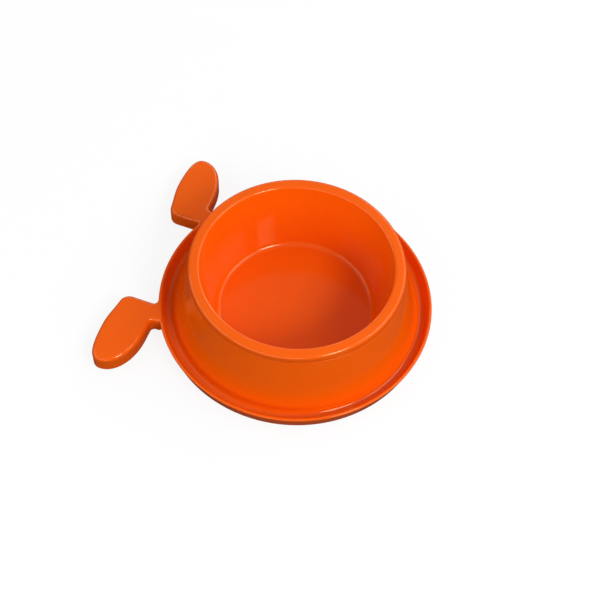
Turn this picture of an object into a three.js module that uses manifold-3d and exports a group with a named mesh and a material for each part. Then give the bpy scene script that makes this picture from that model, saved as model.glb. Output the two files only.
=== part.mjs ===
// A dog food bowl: a flared stand with a moat, a raised lip and two floppy-ear handles,
// a feeding bowl that lifts out of it, and rubber feet.
// Millimetres, +Z up. The origin is on the table, under the middle of the footprint,
// and the ears point towards +Y.
import * as THREE from "three";
import { mergeVertices, toCreasedNormals } from "three/addons/utils/BufferGeometryUtils.js";
import Module from "manifold-3d";

const wasm = await Module();
wasm.setup();

// Feeding bowl
const bowlHeight = 65;
const rimRadius = 84.5;
const rimWidth = 9.1;
const rimBandHeight = 7;
const rimOuterEdge = 3;
const rimInnerEdge = 2.6;
const rimSkirtWall = 2.3;
const rimSkirtEdge = 0.5;
const rimTopWall = 2.7;
const rimRootFillet = 0.7;
const bowlTaper = 12;
const bowlFloorHeight = 4.4;
const bowlFloorFillet = 5;
const bowlWall = 2.6;
const gateRadius = 4.5;
const gateDepth = 0.7;

// Stand: skirt, and the upstand that carries the feeding bowl
const standWall = 2.6;
const skirtFlare = 13.3;
const upstandWall = 2.2;
const upstandEdge = 0.7;
const shoulderEdge = 0.4;

// Stand: moat and lip
const moatWidth = 6.67;
const moatFloorHeight = 5.6;
const moatOuterFillet = 2.5;
const moatInnerFillet = 5;
const lipHeight = 15.8;
const lipFlare = 4;
const lipEdge = 1.25;
const footRimHeight = 1.4;
const footRimEdge = 0.5;

// Ears: the neck, and the lobe that hangs outwards from it. A reach is measured across
// from the neck's inner side, and a drop down from the lobe's tip.
const neckInnerX = 43.6;
const neckWidth = 15.1;
const neckLength = 7.3;
const neckFillet = 3;
const lobeLength = 63.9;
const lobeHeight = 34.3;
const lobeTipReach = 31.8;
const lobeCornerDrop = 3.5;
const lobeCornerRadius = 8.6;
const lobeCornerSweep = 82;
const lobeEndDrop = 11.5;
const lobeEndPull = 12;
const lobeUnderReach = 27.7;
const lobeUnderPull = 21.6;
const lobeNeckFillet = 3.6;
const earEdge = 3.6;

// Ribs inside the ears
const earRibWall = 1.6;
const earRibDepth = 7;
const earRibPitch = 19;
const earRibCount = 2;

// Rubber feet
const footCount = 6;
const footRadius = 4.3;
const footEdge = 0.7;
const footDimpleRadius = 1.9;
const footDimpleDepth = 0.5;
const footStartAngle = 30;
const socketWall = 1.5;

// Clearances
const seatClearance = 0.3;
const rimSideClearance = 0.4;
const footClearance = 0.3;

// Curves and facets: how far a curve's handles reach, as shares of its span, for the
// lobe's full round end and for a nearly straight edge; then how finely round forms are cut
const fullRoundPull = 0.71;
const straightPull = 1 / 3;
const turnSegments = 64;
const footSegments = 16;
const curveSegments = 7;
const bevelSegments = 3;
const facetDepth = 0.08;
const creaseAngle = 35;
const weldDistance = 1e-4;

// Heights that follow from the sizes above
const rimSkirtHeight = bowlHeight - rimBandHeight;
const skirtTopHeight = rimSkirtHeight - seatClearance;
const rimUndersideHeight = bowlHeight - rimTopWall;
const upstandHeight = rimUndersideHeight - seatClearance;
const moatUndersideHeight = moatFloorHeight - standWall;

// How far each drafted wall leans out for each millimetre of height, and how thick a
// level cut through it is
const lipLean = lipFlare / (lipHeight - footRimHeight);
const skirtLean = skirtFlare / (skirtTopHeight - moatFloorHeight);
const bowlLean = bowlTaper / (bowlHeight - bowlFloorHeight);
const lipWallAcross = standWall * Math.hypot(1, lipLean);
const skirtWallAcross = standWall * Math.hypot(1, skirtLean);
const bowlWallAcross = bowlWall * Math.hypot(1, bowlLean);

// Radii that follow, from the rim out to the lip and in to the bowl's floor
const mouthRadius = rimRadius - rimWidth;
const bowlFloorRadius = mouthRadius - bowlTaper;
const upstandRadius = rimRadius - rimSkirtWall - rimSideClearance;
const skirtFootRadius = rimRadius + skirtFlare;
const outerWallRadius = skirtFootRadius + moatWidth + lipWallAcross;
const trayFootRadius = outerWallRadius - lipLean * (moatFloorHeight - footRimHeight);
const lipRadius = trayFootRadius + lipFlare;
const socketRadius = footRadius + footClearance;
const bossRadius = socketRadius + socketWall;
const footRingRadius = trayFootRadius - lipWallAcross / 2 - bossRadius;

// Radius of the outer wall's outside, of the skirt's outside and of the bowl's inside
const lipOutsideAt = (z) => trayFootRadius + lipLean * (z - footRimHeight);
const skirtOutsideAt = (z) => rimRadius + skirtLean * (skirtTopHeight - z);
const bowlInsideAt = (z) => bowlFloorRadius + bowlLean * (z - bowlFloorHeight);

// Where the ears' lobes lie, about the bowl's axis
const neckOuterX = neckInnerX + neckWidth;
const lobeUnderY = Math.sqrt(lipRadius ** 2 - neckOuterX ** 2) + neckLength;
const lobeTipY = lobeUnderY + lobeHeight;

// The bowl's axis lies so that the origin is halfway between the ears' tips and the
// far side of the lip's rounded edge.
const lipReach = lipOutsideAt(lipHeight - lipEdge) - lipEdge * (Math.hypot(1, lipLean) - 1);
const axisY = (lipReach - lobeTipY) / 2;

// Turns a closed geometry into a solid that can be cut and joined.
function solid(geometry) {
  const bare = geometry.clone();
  bare.deleteAttribute("normal");
  bare.deleteAttribute("uv");
  const merged = mergeVertices(bare, weldDistance);
  const vertProperties = merged.attributes.position.array;
  const triVerts = new Uint32Array(merged.index.array);
  return new wasm.Manifold(new wasm.Mesh({ numProp: 3, vertProperties, triVerts }));
}

// Turns a finished solid back into a geometry whose soft edges shade smoothly.
function geometryOf(body) {
  const { numProp, vertProperties, triVerts } = body.getMesh();
  const positions = new Float32Array((vertProperties.length / numProp) * 3);
  for (let i = 0; i < positions.length / 3; i++) {
    positions.set(vertProperties.subarray(i * numProp, i * numProp + 3), i * 3);
  }
  const geometry = new THREE.BufferGeometry();
  geometry.setAttribute("position", new THREE.BufferAttribute(positions, 3));
  geometry.setIndex(new THREE.BufferAttribute(triVerts, 1));
  return toCreasedNormals(geometry, THREE.MathUtils.degToRad(creaseAngle));
}

// How many straight steps an arc needs to stay within a facet's depth of the true curve.
function arcSteps(radius, turn) {
  const step = 2 * Math.acos(1 - Math.min(facetDepth / radius, 1));
  return Math.max(1, Math.round(turn / step));
}

// A corner of a turned profile: radius, height and the fillet that rounds it.
const corner = (r, z, fillet = 0) => ({ at: new THREE.Vector2(r, z), fillet });

// The points of a profile, with each filleted corner drawn as an arc.
function roundCorners(corners, closed) {
  const points = [];
  const count = corners.length;
  corners.forEach(({ at, fillet }, i) => {
    const isEnd = !closed && (i === 0 || i === count - 1);
    if (isEnd || fillet === 0) {
      points.push(at.clone());
      return;
    }
    const before = corners[(i + count - 1) % count].at.clone().sub(at).normalize();
    const after = corners[(i + 1) % count].at.clone().sub(at).normalize();
    const half = before.angleTo(after) / 2;
    const middle = before.clone().add(after).normalize();
    const centre = at.clone().addScaledVector(middle, fillet / Math.sin(half));
    const first = at.clone().addScaledVector(before, fillet / Math.tan(half)).sub(centre);
    const turn = Math.PI - 2 * half;
    const side = Math.sign(after.cross(before));
    const steps = arcSteps(fillet, turn);
    for (let k = 0; k <= steps; k++) {
      const angle = (side * turn * k) / steps;
      points.push(first.clone().rotateAround(new THREE.Vector2(), angle).add(centre));
    }
  });
  if (closed) points.push(points[0].clone());
  return points;
}

// A solid turned about the vertical axis from a profile of corners.
function turned(corners, { closed = false, segments = turnSegments } = {}) {
  const geometry = new THREE.LatheGeometry(roundCorners(corners, closed), segments);
  return solid(geometry.rotateX(Math.PI / 2));
}

// A round post between two heights.
function post(place, radius, low, high) {
  const geometry = new THREE.CylinderGeometry(radius, radius, high - low, footSegments);
  geometry.rotateX(Math.PI / 2);
  return solid(geometry.translate(place.x, place.y, (low + high) / 2));
}

// The ring of the stand: upstand, skirt, moat and lip, as one wall seen in section.
function standRing() {
  const joggleHeight = skirtTopHeight - standWall;
  const joggleFoot = joggleHeight - standWall;
  const lipInsideAt = (z) => lipOutsideAt(z) - lipWallAcross;
  const skirtInsideAt = (z) => skirtOutsideAt(z) - skirtWallAcross;
  return turned(
    [
      corner(upstandRadius - upstandWall, upstandHeight, upstandEdge),
      corner(upstandRadius - upstandWall, joggleHeight),
      corner(skirtInsideAt(joggleFoot), joggleFoot),
      corner(skirtInsideAt(moatUndersideHeight), moatUndersideHeight, moatInnerFillet + standWall),
      corner(lipInsideAt(moatUndersideHeight), moatUndersideHeight),
      corner(lipInsideAt(footRimHeight), footRimHeight, footRimEdge),
      corner(trayFootRadius, footRimHeight, footRimEdge),
      corner(lipRadius, lipHeight, lipEdge),
      corner(lipInsideAt(lipHeight), lipHeight, lipEdge),
      corner(lipInsideAt(moatFloorHeight), moatFloorHeight, moatOuterFillet),
      corner(skirtFootRadius, moatFloorHeight, moatInnerFillet),
      corner(rimRadius, skirtTopHeight, shoulderEdge),
      corner(upstandRadius, skirtTopHeight),
      corner(upstandRadius, upstandHeight, upstandEdge),
    ],
    { closed: true },
  );
}

// The plan outline of one ear. It runs into the ring, past the lip's outside.
function earOutline() {
  const filletReach = lipRadius + neckFillet;
  const innerFillet = new THREE.Vector2(neckInnerX - neckFillet, 0);
  innerFillet.y = Math.sqrt(filletReach ** 2 - innerFillet.x ** 2);
  const outerFillet = new THREE.Vector2(neckOuterX + neckFillet, 0);
  outerFillet.y = Math.sqrt(filletReach ** 2 - outerFillet.x ** 2);
  const inside = (trayFootRadius - 2 * standWall) / filletReach;
  const outside = lipRadius / filletReach;
  const cornerX = neckInnerX + lobeCornerRadius;
  const cornerY = lobeTipY - lobeCornerDrop - lobeCornerRadius;
  const cornerEnd = THREE.MathUtils.degToRad(180 - lobeCornerSweep);
  const topX = cornerX + lobeCornerRadius * Math.cos(cornerEnd);
  const topY = cornerY + lobeCornerRadius * Math.sin(cornerEnd);
  const tipX = neckInnerX + lobeTipReach;
  const topPull = straightPull * (tipX - topX);
  const topPullX = topX + topPull * Math.sin(cornerEnd);
  const topPullY = topY - topPull * Math.cos(cornerEnd);
  const endX = neckInnerX + lobeLength;
  const endY = lobeTipY - lobeEndDrop;
  const tipPullX = tipX + fullRoundPull * (endX - tipX);
  const endPullY = endY + fullRoundPull * (lobeTipY - endY);
  const underX = neckInnerX + lobeUnderReach;
  const underPullX = underX + lobeUnderPull;
  const innerStart = Math.atan2(-innerFillet.y, -innerFillet.x);
  const outerEnd = Math.atan2(-outerFillet.y, -outerFillet.x);
  const underFilletX = neckOuterX + lobeNeckFillet;
  const underFilletY = lobeUnderY - lobeNeckFillet;

  const path = new THREE.Path();
  path.moveTo(innerFillet.x * inside, innerFillet.y * inside);
  path.lineTo(innerFillet.x * outside, innerFillet.y * outside);
  path.absarc(innerFillet.x, innerFillet.y, neckFillet, innerStart, 0, false);
  path.absarc(cornerX, cornerY, lobeCornerRadius, Math.PI, cornerEnd, true);
  path.bezierCurveTo(topPullX, topPullY, tipX - topPull, lobeTipY, tipX, lobeTipY);
  path.bezierCurveTo(tipPullX, lobeTipY, endX, endPullY, endX, endY);
  path.bezierCurveTo(endX, endY - lobeEndPull, underPullX, lobeUnderY, underX, lobeUnderY);
  path.absarc(underFilletX, underFilletY, lobeNeckFillet, Math.PI / 2, Math.PI, false);
  path.absarc(outerFillet.x, outerFillet.y, neckFillet, Math.PI, outerEnd, false);
  path.lineTo(outerFillet.x * inside, outerFillet.y * inside);
  return path;
}

// An outline's points: arcs by their facet depth, other curves in equal steps.
function outlinePoints(path) {
  const points = [path.curves[0].getPoint(0)];
  path.curves.forEach((curve) => {
    let steps = curve.isLineCurve ? 1 : curveSegments;
    if (curve.isEllipseCurve) {
      const turn = curve.getTangent(0).angleTo(curve.getTangent(1));
      steps = arcSteps(curve.xRadius, turn);
    }
    points.push(...curve.getPoints(steps).slice(1));
  });
  return points;
}

// An ear raised from below the table to a height, with its top edge rounded and its
// outline drawn in by an inset.
function raisedEar(side, top, edge, inset) {
  const points = outlinePoints(earOutline());
  const shape = new THREE.Shape(points.map((point) => new THREE.Vector2(side * point.x, point.y)));
  const depth = top + lipHeight;
  const geometry = new THREE.ExtrudeGeometry(shape, {
    depth,
    bevelThickness: edge,
    bevelSize: edge,
    bevelOffset: -edge - inset,
    bevelSegments,
  });
  return solid(geometry.translate(0, 0, top - edge - depth));
}

// Everything inside the middle of the outer wall: an ear stops there, so it can't
// reach into the moat or under it.
function insideOfOuterWall() {
  const low = -2 * lipHeight;
  const high = 2 * lipHeight;
  const middleAt = (z) => lipOutsideAt(z) - lipWallAcross / 2;
  return turned([
    corner(0, low),
    corner(middleAt(low), low),
    corner(middleAt(high), high),
    corner(0, high),
  ]);
}

// A block that covers everything below the moulding's foot.
function belowFootRim() {
  const span = 4 * lipRadius;
  const block = new THREE.BoxGeometry(span, span, span);
  return solid(block.translate(0, 0, footRimHeight - span / 2));
}

// One hollow ear. Its ribs run into the middle of its walls.
function ear(side) {
  const outside = raisedEar(side, lipHeight, earEdge, 0);
  const middle = raisedEar(side, lipHeight - standWall / 2, earEdge, standWall / 2);
  const hollow = raisedEar(side, lipHeight - standWall, earEdge / 2, standWall);
  const ribHeight = earRibDepth + standWall;
  let body = outside.subtract(hollow);
  for (let i = 0; i < earRibCount; i++) {
    const x = neckOuterX + earRibPitch * (i + 0.5);
    const rib = new THREE.BoxGeometry(earRibWall, lipRadius, ribHeight);
    rib.translate(side * x, lobeUnderY, lipHeight - ribHeight / 2);
    body = body.add(solid(rib).intersect(middle));
  }
  return body.subtract(insideOfOuterWall()).subtract(belowFootRim());
}

// Where each foot stands, about the bowl's axis.
function footPlaces() {
  return Array.from({ length: footCount }, (_, i) => {
    const angle = THREE.MathUtils.degToRad(footStartAngle + (360 / footCount) * i);
    return new THREE.Vector2(footRingRadius * Math.cos(angle), footRingRadius * Math.sin(angle));
  });
}

// Everything under the middle of the ring's wall: the space that a foot's boss may fill.
function underRing() {
  const lipMiddleAt = (z) => lipOutsideAt(z) - lipWallAcross / 2;
  const skirtMiddleAt = (z) => skirtOutsideAt(z) - skirtWallAcross / 2;
  const moatMiddle = moatFloorHeight - standWall / 2;
  return turned([
    corner(0, footRimHeight),
    corner(lipMiddleAt(footRimHeight), footRimHeight),
    corner(lipMiddleAt(moatMiddle), moatMiddle),
    corner(skirtMiddleAt(moatMiddle), moatMiddle, moatInnerFillet + standWall / 2),
    corner(skirtMiddleAt(skirtTopHeight), skirtTopHeight),
    corner(0, skirtTopHeight),
  ]);
}

// The whole stand moulding. Each boss hangs under the moat and has a socket for a foot.
function stand() {
  const under = underRing();
  let body = standRing().add(ear(1)).add(ear(-1));
  footPlaces().forEach((place) => {
    const boss = post(place, bossRadius, footRimHeight, skirtTopHeight);
    const socket = post(place, socketRadius, -moatUndersideHeight, moatUndersideHeight);
    body = body.add(boss.intersect(under)).subtract(socket);
  });
  return body;
}

// The feeding bowl: floor, drafted wall and turned-down rim.
function feedingBowl() {
  const floorUnderside = bowlFloorHeight - bowlWall;
  const outsideAt = (z) => bowlInsideAt(z) + bowlWallAcross;
  const rimSkirtInside = rimRadius - rimSkirtWall;
  return turned([
    corner(0, floorUnderside + gateDepth),
    corner(gateRadius, floorUnderside + gateDepth),
    corner(gateRadius, floorUnderside),
    corner(outsideAt(floorUnderside), floorUnderside, bowlFloorFillet + bowlWall),
    corner(outsideAt(rimUndersideHeight), rimUndersideHeight, rimRootFillet),
    corner(rimSkirtInside, rimUndersideHeight, rimRootFillet),
    corner(rimSkirtInside, rimSkirtHeight, rimSkirtEdge),
    corner(rimRadius, rimSkirtHeight, rimSkirtEdge),
    corner(rimRadius, bowlHeight, rimOuterEdge),
    corner(mouthRadius, bowlHeight, rimInnerEdge),
    corner(bowlFloorRadius, bowlFloorHeight, bowlFloorFillet),
    corner(0, bowlFloorHeight),
  ]);
}

// One rubber foot, with a rounded tread edge and a dimple in its sole.
function foot() {
  const top = moatUndersideHeight - footClearance;
  return turned(
    [
      corner(0, footDimpleDepth),
      corner(footDimpleRadius, footDimpleDepth),
      corner(footDimpleRadius + footDimpleDepth, 0),
      corner(footRadius, 0, footEdge),
      corner(footRadius, top),
      corner(0, top),
    ],
    { segments: footSegments },
  );
}

// Finishes
const orangePlastic = { color: 0xf2570a, roughness: 0.22, metalness: 0 };
const darkRubber = { color: 0x2a2a2b, roughness: 0.85, metalness: 0 };

function piece(name, body, finish) {
  const mesh = new THREE.Mesh(geometryOf(body), new THREE.MeshStandardMaterial(finish));
  mesh.name = name;
  return mesh;
}

const dogBowl = new THREE.Group();
const aboutAxis = new THREE.Group();
aboutAxis.position.y = axisY;
dogBowl.add(aboutAxis);

aboutAxis.add(piece("stand", stand(), orangePlastic));
aboutAxis.add(piece("feeding_bowl", feedingBowl(), orangePlastic));
footPlaces().forEach((place, i) => {
  const pad = piece(`foot_${i + 1}`, foot(), darkRubber);
  pad.position.set(place.x, place.y, 0);
  aboutAxis.add(pad);
});

export default dogBowl;
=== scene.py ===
"""A dog food bowl: an orange stand with a moat and floppy-ear handles, and its feeding bowl."""
import math

import bmesh
import bpy
from mathutils import Matrix, Vector


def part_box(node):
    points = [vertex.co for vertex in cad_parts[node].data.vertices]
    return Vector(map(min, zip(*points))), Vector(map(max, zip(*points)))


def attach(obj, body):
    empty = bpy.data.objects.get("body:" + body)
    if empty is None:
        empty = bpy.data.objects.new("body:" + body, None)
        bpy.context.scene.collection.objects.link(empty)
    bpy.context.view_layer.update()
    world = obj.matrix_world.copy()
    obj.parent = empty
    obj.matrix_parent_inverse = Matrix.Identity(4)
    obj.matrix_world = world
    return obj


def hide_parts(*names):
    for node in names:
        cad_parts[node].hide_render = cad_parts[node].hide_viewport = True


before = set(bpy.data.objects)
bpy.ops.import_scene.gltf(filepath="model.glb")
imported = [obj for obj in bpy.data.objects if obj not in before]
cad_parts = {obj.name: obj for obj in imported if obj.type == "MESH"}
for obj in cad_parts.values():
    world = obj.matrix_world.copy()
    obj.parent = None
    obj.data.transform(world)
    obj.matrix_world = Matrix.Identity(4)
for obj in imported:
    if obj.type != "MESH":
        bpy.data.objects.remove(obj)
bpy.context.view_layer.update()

MM = 0.001

# The frame gives the bowl's axis, its rim and its height
rim_low, rim_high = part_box("feeding_bowl")
AXIS = Vector(((rim_low.x + rim_high.x) / 2, (rim_low.y + rim_high.y) / 2, 0))
BOWL_HEIGHT = rim_high.z
RIM_RADIUS = (rim_high.x - rim_low.x) / 2

# Feeding bowl
RIM_WIDTH = 9.1 * MM
RIM_BAND_HEIGHT = 7 * MM
RIM_OUTER_EDGE = 3 * MM
RIM_INNER_EDGE = 2.6 * MM
RIM_SKIRT_WALL = 2.3 * MM
RIM_SKIRT_EDGE = 0.3 * MM
RIM_TOP_WALL = 2.7 * MM
RIM_ROOT_FILLET = 0.7 * MM
BOWL_TAPER = 12 * MM
BOWL_FLOOR_HEIGHT = 4.4 * MM
BOWL_FLOOR_FILLET = 5 * MM
BOWL_WALL = 2.6 * MM
GATE_RADIUS = 4.5 * MM
GATE_DEPTH = 0.7 * MM

# Stand
STAND_WALL = 2.6 * MM
SKIRT_FLARE = 13.3 * MM
UPSTAND_WALL = 2.2 * MM
UPSTAND_EDGE = 0.7 * MM
SHOULDER_EDGE = 0.2 * MM
MOAT_WIDTH = 6.67 * MM
MOAT_FLOOR_HEIGHT = 5.6 * MM
MOAT_OUTER_FILLET = 2.5 * MM
MOAT_INNER_FILLET = 5 * MM
LIP_HEIGHT = 15.8 * MM
LIP_FLARE = 4 * MM
LIP_EDGE = 1.25 * MM
FOOT_RIM_HEIGHT = 1.4 * MM
FOOT_RIM_EDGE = 0.5 * MM

# Gaps between the turned-down rim and the stand
SEAT_CLEARANCE = 0.12 * MM
RIM_SIDE_CLEARANCE = 0.4 * MM

# Ears: a reach is measured across from the neck's inner side, a drop down from the tip
NECK_INNER_X = 43.6 * MM
NECK_WIDTH = 15.1 * MM
NECK_LENGTH = 7.3 * MM
NECK_FILLET = 3 * MM
LOBE_LENGTH = 63.9 * MM
LOBE_HEIGHT = 34.3 * MM
LOBE_TIP_REACH = 31.8 * MM
LOBE_CORNER_DROP = 3.5 * MM
LOBE_CORNER_RADIUS = 8.6 * MM
LOBE_CORNER_SWEEP = math.radians(82)
LOBE_END_DROP = 11.5 * MM
LOBE_END_PULL = 12 * MM
LOBE_UNDER_REACH = 27.7 * MM
LOBE_UNDER_PULL = 21.6 * MM
LOBE_NECK_FILLET = 3.6 * MM
EAR_EDGE = 3.6 * MM
EAR_HOLLOW_EDGE = 1.8 * MM
EAR_RIB_WALL = 1.6 * MM
EAR_RIB_DEPTH = 7 * MM
EAR_RIB_PITCH = 19 * MM
EAR_RIB_COUNT = 2

# How far a curve's handles reach, as shares of its own reach and drop
FULL_ROUND_PULL = 0.71
STRAIGHT_PULL = 1 / 3

# Rubber feet and the bosses that hold them; a boss is low where it runs into the lip's wall
FOOT_RADIUS = 4.3 * MM
FOOT_EDGE = 0.7 * MM
FOOT_DIMPLE_RADIUS = 1.9 * MM
FOOT_DIMPLE_DEPTH = 0.5 * MM
FOOT_CLEARANCE = 0.3 * MM
SOCKET_WALL = 1.5 * MM
BOSS_HEIGHT_IN_LIP = 2.9 * MM
BOSS_FACE_OFFSET = 0.05 * MM

# How finely curves are cut, and the turn from which an edge is drawn sharp
TURN_STEPS = 288
FILLET_STEP = math.radians(9)
LEAST_FILLET_STEPS = 2
LEAST_ARC_STEPS = 4
CURVE_STEPS = 36
EDGE_STEPS = 12
HOLLOW_EDGE_STEPS = 6
FOOT_EDGE_STEPS = 4
NECK_COLUMNS = 10
FOOT_STEPS = 64
SHARP_ANGLE = math.radians(32)
FLAT_FACE_WEIGHT = 100
NO_RADIUS = 1e-9

# Orange plastic: slow clouds in its colour and gloss, and a fine orange peel
DEEP_ORANGE = (0.84, 0.103, 0.001, 1)
LIGHT_ORANGE = (0.88, 0.111, 0.002, 1)
WARM_GLOSS = (1, 0.9, 0.6, 1)
PLASTIC_IOR = 1.5
PLASTIC_ROUGHNESS = 0.1
PLASTIC_UNEVENNESS = 0.05
CLOUD_SCALE = 28
CLOUD_DETAIL = 2
PEEL_SCALE = 420
PEEL_DETAIL = 1
PEEL_STRENGTH = 0.12
PEEL_DEPTH = 0.04 * MM

# Foot rubber: dust in its colour and gloss, and a fine grain
CLEAN_RUBBER = (0.018, 0.018, 0.019, 1)
DUSTY_RUBBER = (0.034, 0.033, 0.032, 1)
RUBBER_ROUGHNESS = 0.72
RUBBER_UNEVENNESS = 0.2
DUST_SCALE = 120
DUST_DETAIL = 4
GRAIN_SCALE = 900
GRAIN_DETAIL = 3
GRAIN_STRENGTH = 0.5
GRAIN_DEPTH = 0.1 * MM

# Table and background: the table's glow is the share of its white that takes no shadow, and the
# background's gloss is the share of the white that the bowl's gloss mirrors
WHITE = (1, 1, 1, 1)
WHITE_STRENGTH = 1
TABLE_WHITE = (0.95, 0.95, 0.95, 1)
TABLE_GREY = (0.04, 0.04, 0.04, 1)
TABLE_GLOW = 0.86
TABLE_SPAN = 40
BACKGROUND_GLOSS = 0.02
STUDIO_LEVEL = 0.28
SOFTBOX_DISTANCE = 1.5

# Camera: the bearing is that of its right-hand side, and pixels are those of a 600 x 600 image
CAMERA_BEARING = math.radians(-72.2)
CAMERA_ELEVATION = math.radians(56.996)
CAMERA_DISTANCE = 0.97594
CAMERA_ROLL = math.radians(-2.942)
IMAGE_SIDE = 600
FOCAL_PIXELS = 1200
AXIS_PIXEL = (295.02, 309.93)
SENSOR_WIDTH = 36

# Sizes that follow
rim_skirt_height = BOWL_HEIGHT - RIM_BAND_HEIGHT
skirt_top_height = rim_skirt_height - SEAT_CLEARANCE
rim_underside_height = BOWL_HEIGHT - RIM_TOP_WALL
upstand_height = rim_underside_height - SEAT_CLEARANCE
moat_underside_height = MOAT_FLOOR_HEIGHT - STAND_WALL
lip_lean = LIP_FLARE / (LIP_HEIGHT - FOOT_RIM_HEIGHT)
skirt_lean = SKIRT_FLARE / (skirt_top_height - MOAT_FLOOR_HEIGHT)
bowl_lean = BOWL_TAPER / (BOWL_HEIGHT - BOWL_FLOOR_HEIGHT)
lip_wall_across = STAND_WALL * math.hypot(1, lip_lean)
skirt_wall_across = STAND_WALL * math.hypot(1, skirt_lean)
bowl_wall_across = BOWL_WALL * math.hypot(1, bowl_lean)
mouth_radius = RIM_RADIUS - RIM_WIDTH
bowl_floor_radius = mouth_radius - BOWL_TAPER
upstand_radius = RIM_RADIUS - RIM_SKIRT_WALL - RIM_SIDE_CLEARANCE
skirt_foot_radius = RIM_RADIUS + SKIRT_FLARE
outer_wall_radius = skirt_foot_radius + MOAT_WIDTH + lip_wall_across
tray_foot_radius = outer_wall_radius - lip_lean * (MOAT_FLOOR_HEIGHT - FOOT_RIM_HEIGHT)
lip_radius = tray_foot_radius + LIP_FLARE
neck_outer_x = NECK_INNER_X + NECK_WIDTH
lobe_under_y = math.sqrt(lip_radius**2 - neck_outer_x**2) + NECK_LENGTH
lobe_tip_y = lobe_under_y + LOBE_HEIGHT


def lip_outside(z):
    return tray_foot_radius + lip_lean * (z - FOOT_RIM_HEIGHT)


def lip_inside(z):
    return lip_outside(z) - lip_wall_across


def skirt_outside(z):
    return RIM_RADIUS + skirt_lean * (skirt_top_height - z)


def skirt_inside(z):
    return skirt_outside(z) - skirt_wall_across


def bowl_outside(z):
    return bowl_floor_radius + bowl_wall_across + bowl_lean * (z - BOWL_FLOOR_HEIGHT)


def smoothstep(t):
    return t * t * (3 - 2 * t)


def fillet_start(radius, corner):
    """How far from a corner of this angle a fillet starts."""
    return radius / math.tan(corner / 2)


# Profiles and turned shapes
def rounded(corners):
    """The points of an open profile of (radius, height, fillet) corners, fillets drawn as arcs."""
    points = []
    for i, (r, z, fillet) in enumerate(corners):
        at = Vector((r, z))
        if not fillet:
            points.append(at)
            continue
        before = (Vector(corners[i - 1][:2]) - at).normalized()
        after = (Vector(corners[i + 1][:2]) - at).normalized()
        corner = before.angle(after)
        centre = at + (before + after).normalized() * fillet / math.sin(corner / 2)
        first = at + before * fillet_start(fillet, corner) - centre
        turn = math.pi - corner
        side = math.copysign(1, after.x * before.y - after.y * before.x)
        steps = max(LEAST_FILLET_STEPS, math.ceil(turn / FILLET_STEP))
        for k in range(steps + 1):
            angle = side * turn * k / steps
            points.append(centre + Matrix.Rotation(angle, 2) @ first)
    return points


def turn_points(mesh, profile, angles, centre=AXIS):
    """Rows of vertices, one row for each profile point. A point on the axis is one vertex."""
    rows = []
    for r, z in profile:
        if r < NO_RADIUS:
            vertex = mesh.verts.new(centre + Vector((0, 0, z)))
            rows.append([vertex] * len(angles))
        else:
            spots = (Vector((r * math.cos(a), r * math.sin(a), z)) for a in angles)
            rows.append([mesh.verts.new(centre + spot) for spot in spots])
    return rows


def join_rows(mesh, first, second, closed=True):
    """Faces between two rows of equally many vertices. A closed row ends where it starts."""
    count = len(first)
    for i in range(count if closed else count - 1):
        k = (i + 1) % count
        ring = list(dict.fromkeys((first[i], second[i], second[k], first[k])))
        mesh.faces.new(ring)


def skin(mesh, rows, closed=True):
    """Faces between each row and the next."""
    for first, second in zip(rows, rows[1:]):
        join_rows(mesh, first, second, closed)


def full_turn(steps):
    return [math.tau * i / steps for i in range(steps)]


def turned(mesh, profile, steps, centre=AXIS):
    """A closed body turned about an upright axis; its profile runs from axis to axis."""
    skin(mesh, turn_points(mesh, profile, full_turn(steps), centre))


def finished(name, mesh, material, body, node):
    """Makes the piece that stands for a node, with smooth fillets and true flats."""
    bmesh.ops.recalc_face_normals(mesh, faces=mesh.faces)
    data = bpy.data.meshes.new(name)
    mesh.to_mesh(data)
    mesh.free()
    data.shade_smooth()
    data.set_sharp_from_angle(angle=SHARP_ANGLE)
    piece = bpy.data.objects.new(name, data)
    bpy.context.scene.collection.objects.link(piece)
    data.materials.append(material)
    normals = piece.modifiers.new("even shading", "WEIGHTED_NORMAL")
    normals.keep_sharp = True
    normals.weight = FLAT_FACE_WEIGHT
    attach(piece, body)
    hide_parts(node)


# The stand's outline
class Station:
    """A place on the stand's outline: its corner, the way out, and how much lip it is."""

    def __init__(self, at, out, lip):
        self.at = Vector(at)
        self.out = Vector(out).normalized()
        self.lip = lip

    def on(self, side):
        """The same place on the right ear, side 1, or on the left one, side -1."""
        return Station((side * self.at.x, self.at.y), (side * self.out.x, self.out.y), self.lip)

    def spot(self, inset, z):
        """The point that lies this far in from the corner, at a height."""
        flat = self.at - self.out * inset
        return AXIS + Vector((flat.x, flat.y, z))


def lip_station(angle):
    """The place at an angle on the lip's circle."""
    way = Vector((math.cos(angle), math.sin(angle)))
    return Station(lip_radius * way, way, 1)


def arc_stations(centre, radius, start, end, side, lips=(0, 0)):
    """Stations on an arc. Side is 1 where the arc bulges out of the ear, and -1 where it cuts in."""
    steps = max(LEAST_ARC_STEPS, math.ceil(abs(end - start) / FILLET_STEP))
    stations = []
    for k in range(steps + 1):
        angle = start + (end - start) * k / steps
        way = Vector((math.cos(angle), math.sin(angle)))
        lip = lips[0] + (lips[1] - lips[0]) * smoothstep(k / steps)
        stations.append(Station(Vector(centre) + radius * way, side * way, lip))
    return stations


def curve_stations(a, b, c, d):
    """Stations on a curve from a to d with handles b and c, without its first point."""
    a, b, c, d = (Vector(p) for p in (a, b, c, d))
    stations = []
    for k in range(1, CURVE_STEPS + 1):
        t = k / CURVE_STEPS
        u = 1 - t
        at = u**3 * a + 3 * u * u * t * b + 3 * u * t * t * c + t**3 * d
        along = u * u * (b - a) + 2 * u * t * (c - b) + t * t * (d - c)
        stations.append(Station(at, (-along.y, along.x), 0))
    return stations


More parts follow.
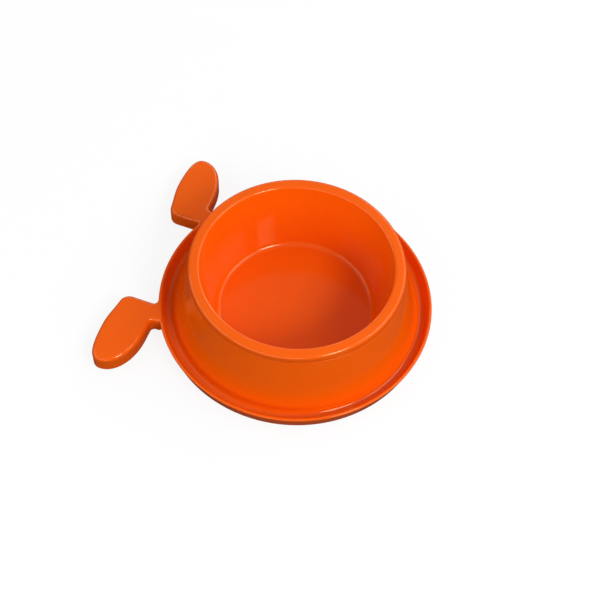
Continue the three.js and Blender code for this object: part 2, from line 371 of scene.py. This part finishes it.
def neck_fillet_centre(x):
    """The middle of a fillet that touches the outside of the lip, at x."""
    return Vector((x, math.sqrt((lip_radius + NECK_FILLET) ** 2 - x**2)))


def ear_outline():
    """The right ear's outline, as its inner fillet, its lobe and its outer fillet."""
    inner = neck_fillet_centre(NECK_INNER_X - NECK_FILLET)
    outer = neck_fillet_centre(neck_outer_x + NECK_FILLET)
    inner_start = math.atan2(-inner.y, -inner.x)
    outer_end = math.atan2(-outer.y, -outer.x) + math.tau
    inner_fillet = arc_stations(inner, NECK_FILLET, inner_start, 0, -1, lips=(1, 0))
    outer_fillet = arc_stations(outer, NECK_FILLET, math.pi, outer_end, -1, lips=(0, 1))

    # The corner over the neck, then the top, the round end, the belly and the fillet to the neck
    corner_x = NECK_INNER_X + LOBE_CORNER_RADIUS
    corner_y = lobe_tip_y - LOBE_CORNER_DROP - LOBE_CORNER_RADIUS
    corner_end = math.pi - LOBE_CORNER_SWEEP
    top_x = corner_x + LOBE_CORNER_RADIUS * math.cos(corner_end)
    top_y = corner_y + LOBE_CORNER_RADIUS * math.sin(corner_end)
    tip_x = NECK_INNER_X + LOBE_TIP_REACH
    end_x = NECK_INNER_X + LOBE_LENGTH
    end_y = lobe_tip_y - LOBE_END_DROP
    under_x = NECK_INNER_X + LOBE_UNDER_REACH
    top_pull = STRAIGHT_PULL * (tip_x - top_x)
    tip_pull = FULL_ROUND_PULL * (end_x - tip_x)
    end_pull = FULL_ROUND_PULL * (lobe_tip_y - end_y)
    lobe = arc_stations((corner_x, corner_y), LOBE_CORNER_RADIUS, math.pi, corner_end, 1)
    lobe += curve_stations(
        (top_x, top_y),
        (top_x + top_pull * math.sin(corner_end), top_y - top_pull * math.cos(corner_end)),
        (tip_x - top_pull, lobe_tip_y),
        (tip_x, lobe_tip_y),
    )
    lobe += curve_stations(
        (tip_x, lobe_tip_y),
        (tip_x + tip_pull, lobe_tip_y),
        (end_x, end_y + end_pull),
        (end_x, end_y),
    )
    lobe += curve_stations(
        (end_x, end_y),
        (end_x, end_y - LOBE_END_PULL),
        (under_x + LOBE_UNDER_PULL, lobe_under_y),
        (under_x, lobe_under_y),
    )
    under = (neck_outer_x + LOBE_NECK_FILLET, lobe_under_y - LOBE_NECK_FILLET)
    lobe += arc_stations(under, LOBE_NECK_FILLET, math.pi / 2, math.pi, -1)
    return inner_fillet, lobe, outer_fillet


def wall_column(mesh, station):
    """The vertices down the outside at a station, from the top's edge to the foot's."""
    lean = station.lip * lip_lean
    edge = EAR_EDGE + station.lip * (LIP_EDGE - EAR_EDGE)
    tilt = math.atan(lean)
    top_inset = fillet_start(edge, math.pi / 2 - tilt)
    foot_inset = fillet_start(FOOT_RIM_EDGE, math.pi / 2 + tilt)
    foot_corner = lean * (LIP_HEIGHT - FOOT_RIM_HEIGHT)
    points = []
    for k in range(EDGE_STEPS + 1):
        angle = math.pi / 2 - (math.pi / 2 + tilt) * k / EDGE_STEPS
        inset = top_inset - edge * math.cos(angle)
        points.append(station.spot(inset, LIP_HEIGHT - edge + edge * math.sin(angle)))
    for k in range(FOOT_EDGE_STEPS + 1):
        angle = -tilt - (math.pi / 2 - tilt) * k / FOOT_EDGE_STEPS
        inset = foot_corner + foot_inset - FOOT_RIM_EDGE * math.cos(angle)
        z = FOOT_RIM_HEIGHT + FOOT_RIM_EDGE + FOOT_RIM_EDGE * math.sin(angle)
        points.append(station.spot(inset, z))
    return [mesh.verts.new(point) for point in points]


# The stand's turned ring
def ring_profile():
    """The ring's section from the foot's inner edge, over the upstand and down to the lip's land."""
    joggle_height = skirt_top_height - STAND_WALL
    joggle_foot = joggle_height - STAND_WALL
    under = moat_underside_height
    profile = rounded(
        [
            (lip_outside(FOOT_RIM_HEIGHT), FOOT_RIM_HEIGHT, 0),
            (lip_inside(FOOT_RIM_HEIGHT), FOOT_RIM_HEIGHT, FOOT_RIM_EDGE),
            (lip_inside(under), under, 0),
            (skirt_inside(under), under, MOAT_INNER_FILLET + STAND_WALL),
            (skirt_inside(joggle_foot), joggle_foot, 0),
            (upstand_radius - UPSTAND_WALL, joggle_height, 0),
            (upstand_radius - UPSTAND_WALL, upstand_height, UPSTAND_EDGE),
            (upstand_radius, upstand_height, UPSTAND_EDGE),
            (upstand_radius, skirt_top_height, 0),
            (RIM_RADIUS, skirt_top_height, SHOULDER_EDGE),
            (skirt_foot_radius, MOAT_FLOOR_HEIGHT, MOAT_INNER_FILLET),
            (lip_inside(MOAT_FLOOR_HEIGHT), MOAT_FLOOR_HEIGHT, MOAT_OUTER_FILLET),
            (lip_inside(LIP_HEIGHT), LIP_HEIGHT, LIP_EDGE),
            (lip_outside(LIP_HEIGHT), LIP_HEIGHT, 0),
        ]
    )
    # The first and last points only give the fillets beside them their direction
    return profile[1:-1]


def even_angles(start, end):
    """Angles from start to end, both kept, about as far apart as a full turn's steps."""
    steps = max(1, round(abs(end - start) * TURN_STEPS / math.tau))
    return [start + (end - start) * k / steps for k in range(steps + 1)]


def neck_columns(inset=0):
    """Places across the hollow in the neck, from its inner side to its outer one."""
    first_x = NECK_INNER_X + STAND_WALL + inset
    last_x = neck_outer_x - STAND_WALL - inset
    return [first_x + (last_x - first_x) * k / NECK_COLUMNS for k in range(NECK_COLUMNS + 1)]


class Ring:
    """The turned part of the stand. Its places run clockwise from between the ears, 0."""

    def __init__(self, mesh, leaves_lip, meets_lip):
        """The two stations are where the right ear leaves the lip and comes back to it."""
        self.mesh = mesh
        inner_angle = math.atan2(leaves_lip.at.y, leaves_lip.at.x)
        outer_angle = math.atan2(meets_lip.at.y, meets_lip.at.x)
        neck = [math.acos(x / tray_foot_radius) for x in neck_columns()]
        between = even_angles(math.pi / 2, inner_angle)
        before_neck = even_angles(inner_angle, neck[0])[1:-1]
        after_neck = even_angles(neck[-1], outer_angle)[1:-1]
        far_half = even_angles(outer_angle, -math.pi / 2)
        right = between + before_neck + neck + after_neck + far_half
        left = [math.pi - angle for angle in reversed(right[1:-1])]
        self.angles = right + left
        self.inner_place = len(between) - 1
        self.neck_start = len(before_neck) + 1
        self.outer_place = len(right) - len(far_half)
        rows = turn_points(mesh, ring_profile(), self.angles)
        skin(mesh, rows)
        self.foot_row = rows[0]
        self.land_row = rows[-1]
        self.columns = {}

    def place(self, i, side):
        """A place on the right, side 1, or its mirror image on the left, side -1."""
        return side * i % len(self.angles)

    def along_ear(self, row, side):
        """The part of a row along an ear, from where the ear leaves the lip."""
        return [row[self.place(i, side)] for i in range(self.inner_place, self.outer_place + 1)]

    def add_lip_wall(self, first, last):
        """The outside of the lip from one place to another, joined to its land and its foot."""
        places = [i % len(self.angles) for i in range(first, last + 1)]
        for i in places:
            self.columns[i] = wall_column(self.mesh, lip_station(self.angles[i]))
        for i, k in zip(places, places[1:]):
            here = self.columns[i]
            there = self.columns[k]
            join_rows(self.mesh, here, there, closed=False)
            self.mesh.faces.new((self.land_row[i], self.land_row[k], there[0], here[0]))
            self.mesh.faces.new((self.foot_row[i], self.foot_row[k], there[-1], here[-1]))


# Ears
def ear_hollow(mesh, lobe, neck_feet, side):
    """The hollow under one ear. Returns its mouth's vertices from the inner neck to the outer."""
    top = LIP_HEIGHT - STAND_WALL
    round_foot = top - EAR_HOLLOW_EDGE
    levels = [(0, FOOT_RIM_HEIGHT), (0, (FOOT_RIM_HEIGHT + top) / 2)]
    for k in range(HOLLOW_EDGE_STEPS + 1):
        angle = math.pi / 2 * k / HOLLOW_EDGE_STEPS
        inset = EAR_HOLLOW_EDGE * (1 - math.cos(angle))
        levels.append((inset, round_foot + EAR_HOLLOW_EDGE * math.sin(angle)))

    def on_lip(x, z):
        return AXIS + Vector((side * x, math.sqrt(lip_outside(z) ** 2 - x * x), z))

    rows = []
    patch = []
    for inset, z in levels:
        line = neck_feet
        if patch:
            line = [mesh.verts.new(on_lip(x, z)) for x in neck_columns(inset)]
        walls = [mesh.verts.new(station.spot(STAND_WALL + inset, z)) for station in lobe]
        patch.append(line)
        rows.append([line[0], *walls, line[-1]])
    skin(mesh, rows, closed=False)
    skin(mesh, patch, closed=False)
    mesh.faces.new(rows[-1] + patch[-1][-2:0:-1])
    return rows[0]


def box_between(mesh, low, high):
    """A closed box with its corners at low and high."""
    place = Matrix.Translation((low + high) / 2) @ Matrix.Diagonal((*(high - low), 1))
    bmesh.ops.create_cube(mesh, size=1, matrix=place)


def outline_span(stations, x):
    """The outline's lowest and highest y where it crosses x."""
    found = []
    for a, b in zip(stations, stations[1:]):
        if min(a.at.x, b.at.x) <= x <= max(a.at.x, b.at.x) and a.at.x != b.at.x:
            share = (x - a.at.x) / (b.at.x - a.at.x)
            found.append(a.at.y + share * (b.at.y - a.at.y))
    return min(found), max(found)


def ear_ribs(mesh, lobe, side):
    """The ribs under one ear, run into the middle of its walls. The lobe is the right ear's."""
    top = LIP_HEIGHT - STAND_WALL / 2
    foot = LIP_HEIGHT - STAND_WALL - EAR_RIB_DEPTH
    for i in range(EAR_RIB_COUNT):
        x = neck_outer_x + EAR_RIB_PITCH * (i + 0.5)
        low_y, high_y = outline_span(lobe, x)
        low = Vector((side * x - EAR_RIB_WALL / 2, low_y + STAND_WALL / 2, foot))
        high = Vector((side * x + EAR_RIB_WALL / 2, high_y - STAND_WALL / 2, top))
        box_between(mesh, AXIS + low, AXIS + high)


def floppy_ear(ring, outline, side):
    """One ear, on the right, side 1, or the left, side -1: its top, wall, hollow and ribs."""
    mesh = ring.mesh
    inner_fillet, lobe, outer_fillet = ([s.on(side) for s in run] for run in outline)
    stations = inner_fillet[1:] + lobe + outer_fillet[:-1]
    inner_column = ring.columns[ring.place(ring.inner_place, side)]
    outer_column = ring.columns[ring.place(ring.outer_place, side)]
    columns = [inner_column, *(wall_column(mesh, s) for s in stations), outer_column]
    skin(mesh, columns, closed=False)
    land = ring.along_ear(ring.land_row, side)
    mesh.faces.new([column[0] for column in columns] + land[::-1])

    # The foot, from the ring out to the lip's outside, and from there round the hollow's mouth
    angles = ring.along_ear(ring.angles, side)[1:-1]
    spots = [lip_station(angle).spot(LIP_FLARE, FOOT_RIM_HEIGHT) for angle in angles]
    feet = [inner_column[-1], *(mesh.verts.new(spot) for spot in spots), outer_column[-1]]
    join_rows(mesh, feet, ring.along_ear(ring.foot_row, side), closed=False)
    start = ring.neck_start
    end = start + NECK_COLUMNS + 1
    mouth = ear_hollow(mesh, lobe, feet[start:end], side)
    inside = feet[1:start] + mouth + feet[end:-1]
    mesh.faces.new([column[-1] for column in columns] + inside[::-1])
    ear_ribs(mesh, outline[1], side)


# Foot bosses
def under_wall_middle(r):
    """Height of the middle of the wall over a place under the moat, at a radius."""
    fillet = MOAT_INNER_FILLET + STAND_WALL / 2
    floor = MOAT_FLOOR_HEIGHT - STAND_WALL / 2
    wall_foot = skirt_outside(floor) - skirt_wall_across / 2
    tilt = math.atan(skirt_lean)
    centre_r = wall_foot + fillet_start(fillet, math.pi / 2 + tilt)
    if r >= centre_r:
        return floor
    tangent_r = centre_r - fillet * math.cos(tilt)
    if r > tangent_r:
        return floor + fillet - math.sqrt(fillet**2 - (centre_r - r) ** 2)
    return floor + (wall_foot - r) / skirt_lean


def foot_middles():
    """Where each rubber foot stands, by node name."""
    names = sorted(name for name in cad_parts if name.startswith("foot_"))
    middles = {}
    for name in names:
        low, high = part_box(name)
        middles[name] = Vector(((low.x + high.x) / 2, (low.y + high.y) / 2, 0))
    return middles


def foot_boss(mesh, middle):
    """A round boss under the moat with a socket for a foot; its top is inside the wall."""
    socket = FOOT_RADIUS + FOOT_CLEARANCE
    radius = socket + SOCKET_WALL
    low = FOOT_RIM_HEIGHT + BOSS_FACE_OFFSET
    ceiling = moat_underside_height - BOSS_FACE_OFFSET
    profile = [(0, ceiling), (socket, ceiling), (socket, low), (radius, low)]
    rows = turn_points(mesh, profile, full_turn(FOOT_STEPS), middle)
    crown = []
    for vertex in rows[-1]:
        reach = (vertex.co - AXIS).to_2d().length
        height = under_wall_middle(reach) if reach < lip_inside(low) else BOSS_HEIGHT_IN_LIP
        crown.append(mesh.verts.new((vertex.co.x, vertex.co.y, height)))
    rows.append(crown)
    skin(mesh, rows)
    peak_height = under_wall_middle((middle - AXIS).length)
    peak = mesh.verts.new((middle.x, middle.y, peak_height))
    join_rows(mesh, crown, [peak] * len(crown))


# The pieces
def stand_moulding(material):
    """The stand: a turned ring, a wall that follows the lip and both ears, and foot bosses."""
    mesh = bmesh.new()
    outline = ear_outline()
    leaves_lip = outline[0][0]
    meets_lip = outline[-1][-1]
    ring = Ring(mesh, leaves_lip, meets_lip)
    ring.add_lip_wall(-ring.inner_place, ring.inner_place)
    ring.add_lip_wall(ring.outer_place, len(ring.angles) - ring.outer_place)
    for side in (1, -1):
        floppy_ear(ring, outline, side)
    for middle in foot_middles().values():
        foot_boss(mesh, middle)
    finished("stand_moulding", mesh, material, "stand_body", "stand")


def lift_out_bowl(material):
    """The feeding bowl: floor, drafted wall and turned-down rim."""
    mesh = bmesh.new()
    underside = BOWL_FLOOR_HEIGHT - BOWL_WALL
    rim_inside = RIM_RADIUS - RIM_SKIRT_WALL
    profile = rounded(
        [
            (0, underside + GATE_DEPTH, 0),
            (GATE_RADIUS, underside + GATE_DEPTH, 0),
            (GATE_RADIUS, underside, 0),
            (bowl_outside(underside), underside, BOWL_FLOOR_FILLET + BOWL_WALL),
            (bowl_outside(rim_underside_height), rim_underside_height, RIM_ROOT_FILLET),
            (rim_inside, rim_underside_height, RIM_ROOT_FILLET),
            (rim_inside, rim_skirt_height, RIM_SKIRT_EDGE),
            (RIM_RADIUS, rim_skirt_height, RIM_SKIRT_EDGE),
            (RIM_RADIUS, BOWL_HEIGHT, RIM_OUTER_EDGE),
            (mouth_radius, BOWL_HEIGHT, RIM_INNER_EDGE),
            (bowl_floor_radius, BOWL_FLOOR_HEIGHT, BOWL_FLOOR_FILLET),
            (0, BOWL_FLOOR_HEIGHT, 0),
        ]
    )
    turned(mesh, profile, TURN_STEPS)
    finished("lift_out_bowl", mesh, material, "feeding_bowl_body", "feeding_bowl")


def rubber_foot(name, middle, material):
    """One rubber pad with a rounded tread edge and a dimple in its sole."""
    mesh = bmesh.new()
    top = moat_underside_height - FOOT_CLEARANCE
    profile = rounded(
        [
            (0, FOOT_DIMPLE_DEPTH, 0),
            (FOOT_DIMPLE_RADIUS, FOOT_DIMPLE_DEPTH, 0),
            (FOOT_DIMPLE_RADIUS + FOOT_DIMPLE_DEPTH, 0, 0),
            (FOOT_RADIUS, 0, FOOT_EDGE),
            (FOOT_RADIUS, top, 0),
            (0, top, 0),
        ]
    )
    turned(mesh, profile, FOOT_STEPS, middle)
    finished(f"rubber_{name}", mesh, material, "stand_body", name)


# Materials
class Wire:
    """A socket that carries a value. Sums and products of wires add Math nodes."""

    def __init__(self, nodes, socket):
        self.nodes = nodes
        self.socket = socket

    def maths(self, operation, other):
        return self.nodes.add("ShaderNodeMath", {"operation": operation}, {0: self, 1: other})

    def __add__(self, other):
        return self.maths("ADD", other)

    def __mul__(self, other):
        return self.maths("MULTIPLY", other)

    __radd__ = __add__
    __rmul__ = __mul__


def socket_of(sockets, key):
    """A socket by its number, its identifier or its name."""
    if isinstance(key, int):
        return sockets[key]
    return next(socket for socket in sockets if key in (socket.identifier, socket.name))


class Nodes:
    """The node tree of a material or of the world."""

    def __init__(self, owner):
        owner.use_nodes = True
        self.tree = owner.node_tree
        self.tree.nodes.clear()

    def add(self, kind, settings=None, inputs=None, output=0):
        """Adds a node with its settings, gives its inputs values or wires, and returns an output."""
        node = self.tree.nodes.new(kind)
        for key, value in (settings or {}).items():
            setattr(node, key, value)
        for key, value in (inputs or {}).items():
            socket = socket_of(node.inputs, key)
            if isinstance(value, Wire):
                self.tree.links.new(value.socket, socket)
            else:
                socket.default_value = value
        if not node.outputs:
            return None
        return Wire(self, socket_of(node.outputs, output))


def noise(nodes, place, scale, detail):
    """Patches from 0 to 1 that get smaller as the scale goes up."""
    return nodes.add("ShaderNodeTexNoise", inputs={"Vector": place, "Scale": scale, "Detail": detail})


def blended(nodes, share, first, second):
    """A colour that goes from the first to the second as the share goes from 0 to 1."""
    colours = {"Factor_Float": share, "A_Color": first, "B_Color": second}
    return nodes.add("ShaderNodeMix", {"data_type": "RGBA"}, colours, output="Result_Color")


def bumped(nodes, height, strength, depth):
    """A normal that follows fine relief, where the height of 1 stands this deep."""
    relief = {"Height": height, "Strength": strength, "Distance": depth}
    return nodes.add("ShaderNodeBump", inputs=relief)


def orange_plastic():
    """Glossy injection-moulded plastic: a faint orange peel and a slightly uneven gloss."""
    material = bpy.data.materials.new("glossy orange plastic")
    nodes = Nodes(material)
    place = nodes.add("ShaderNodeTexCoord", output="Object")
    cloud = noise(nodes, place, CLOUD_SCALE, CLOUD_DETAIL)
    peel = noise(nodes, place, PEEL_SCALE, PEEL_DETAIL)
    finish = {
        "Base Color": blended(nodes, cloud, DEEP_ORANGE, LIGHT_ORANGE),
        "Roughness": PLASTIC_ROUGHNESS + PLASTIC_UNEVENNESS * cloud,
        "Normal": bumped(nodes, peel, PEEL_STRENGTH, PEEL_DEPTH),
        "IOR": PLASTIC_IOR,
        "Specular Tint": WARM_GLOSS,
    }
    surface = nodes.add("ShaderNodeBsdfPrincipled", inputs=finish)
    nodes.add("ShaderNodeOutputMaterial", inputs={"Surface": surface})
    return material


def dark_rubber():
    """Soft dark rubber with a fine grain and a little dust."""
    material = bpy.data.materials.new("dark foot rubber")
    nodes = Nodes(material)
    place = nodes.add("ShaderNodeTexCoord", output="Object")
    grain = noise(nodes, place, GRAIN_SCALE, GRAIN_DETAIL)
    dust = noise(nodes, place, DUST_SCALE, DUST_DETAIL)
    finish = {
        "Base Color": blended(nodes, dust, CLEAN_RUBBER, DUSTY_RUBBER),
        "Roughness": RUBBER_ROUGHNESS + RUBBER_UNEVENNESS * dust,
        "Normal": bumped(nodes, grain, GRAIN_STRENGTH, GRAIN_DEPTH),
    }
    surface = nodes.add("ShaderNodeBsdfPrincipled", inputs=finish)
    nodes.add("ShaderNodeOutputMaterial", inputs={"Surface": surface})
    return material


def shows_background(nodes):
    """How much a ray sees of the white background: all of it to the camera, a little in gloss."""
    seen = nodes.add("ShaderNodeLightPath", output="Is Camera Ray")
    mirrored = nodes.add("ShaderNodeLightPath", output="Is Glossy Ray")
    through = nodes.add("ShaderNodeLightPath", output="Is Transmission Ray")
    return seen + BACKGROUND_GLOSS * (mirrored + through)


def table_white():
    """White to the camera, with a soft shadow, and grey to the bowl's sides."""
    material = bpy.data.materials.new("white table")
    nodes = Nodes(material)
    seen = nodes.add("ShaderNodeLightPath", output="Is Camera Ray")
    paint = blended(nodes, seen, TABLE_GREY, TABLE_WHITE)
    matt = nodes.add("ShaderNodeBsdfDiffuse", inputs={"Color": paint})
    white = nodes.add("ShaderNodeEmission", inputs={"Color": WHITE, "Strength": WHITE_STRENGTH})
    glow = TABLE_GLOW * shows_background(nodes)
    surface = nodes.add("ShaderNodeMixShader", inputs={0: glow, 1: matt, 2: white})
    nodes.add("ShaderNodeOutputMaterial", inputs={"Surface": surface})
    return material


# Studio
def studio_camera():
    """The camera, aimed so that the bowl's axis meets the table at its pixel."""
    right = Vector((math.cos(CAMERA_BEARING), math.sin(CAMERA_BEARING), 0))
    away = Vector((-right.y, right.x, 0))
    back = Vector((0, 0, math.sin(CAMERA_ELEVATION))) - away * math.cos(CAMERA_ELEVATION)
    axes = Matrix((right, back.cross(right), back)).transposed()
    middle = IMAGE_SIDE / 2
    aim = Vector((AXIS_PIXEL[0] - middle, middle - AXIS_PIXEL[1], -FOCAL_PIXELS))
    swing = Vector((0, 0, -1)).rotation_difference(aim).to_matrix()
    roll = Matrix.Rotation(CAMERA_ROLL, 3, "Z")
    turn = axes @ (swing @ roll).transposed()
    data = bpy.data.cameras.new("camera")
    data.sensor_width = SENSOR_WIDTH
    data.lens = SENSOR_WIDTH * FOCAL_PIXELS / IMAGE_SIDE
    camera = bpy.data.objects.new("camera", data)
    camera.matrix_world = Matrix.Translation(AXIS + back * CAMERA_DISTANCE) @ turn.to_4x4()
    bpy.context.scene.collection.objects.link(camera)
    bpy.context.scene.camera = camera


def studio_background():
    """Soft even light, and white where the camera sees past the table."""
    world = bpy.data.worlds.new("studio")
    bpy.context.scene.world = world
    nodes = Nodes(world)
    soft = nodes.add("ShaderNodeBackground", inputs={"Color": WHITE, "Strength": STUDIO_LEVEL})
    white = nodes.add("ShaderNodeBackground", inputs={"Color": WHITE, "Strength": WHITE_STRENGTH})
    share = shows_background(nodes)
    sky = nodes.add("ShaderNodeMixShader", inputs={0: share, 1: soft, 2: white})
    nodes.add("ShaderNodeOutputWorld", inputs={"Surface": sky})


def studio_table():
    mesh = bmesh.new()
    bmesh.ops.create_grid(mesh, x_segments=1, y_segments=1, size=TABLE_SPAN / 2)
    data = bpy.data.meshes.new("table")
    mesh.to_mesh(data)
    mesh.free()
    table = bpy.data.objects.new("table", data)
    bpy.context.scene.collection.objects.link(table)
    data.materials.append(table_white())


def softbox(name, bearing, elevation, width, height, strength):
    """A soft light that faces the bowl; its strength is how bright its face is."""
    angle = math.radians(bearing) + CAMERA_BEARING
    rise = math.radians(elevation)
    across = math.cos(rise)
    way = Vector((across * math.cos(angle), across * math.sin(angle), math.sin(rise)))
    data = bpy.data.lights.new(name, "AREA")
    data.shape = "RECTANGLE"
    data.size = width
    data.size_y = height
    data.energy = strength * width * height * math.pi
    light = bpy.data.objects.new(name, data)
    light.location = AXIS + way * SOFTBOX_DISTANCE
    light.rotation_euler = way.to_track_quat("Z", "Y").to_euler()
    bpy.context.scene.collection.objects.link(light)


def studio_lights():
    """Six soft lights. A bearing of 0 is to the camera's right, and -90 is towards the camera."""
    softbox("key softbox", bearing=-51, elevation=42, width=0.42, height=0.45, strength=18)
    softbox("right softbox", bearing=-4, elevation=44, width=0.8, height=0.9, strength=2.6)
    softbox("back right softbox", bearing=45, elevation=32, width=1.4, height=0.9, strength=1.4)
    softbox("left softbox", bearing=-176, elevation=33, width=1.6, height=1, strength=1.25)
    softbox("front fill", bearing=-110, elevation=18, width=1.6, height=0.5, strength=2.4)
    softbox("back fill", bearing=90, elevation=22, width=1.6, height=0.6, strength=1.4)


studio_camera()
studio_background()
studio_table()
studio_lights()
bpy.context.scene.view_settings.view_transform = "Standard"

plastic = orange_plastic()
rubber = dark_rubber()
stand_moulding(plastic)
lift_out_bowl(plastic)
for foot_name, foot_middle in foot_middles().items():
    rubber_foot(foot_name, foot_middle, rubber)
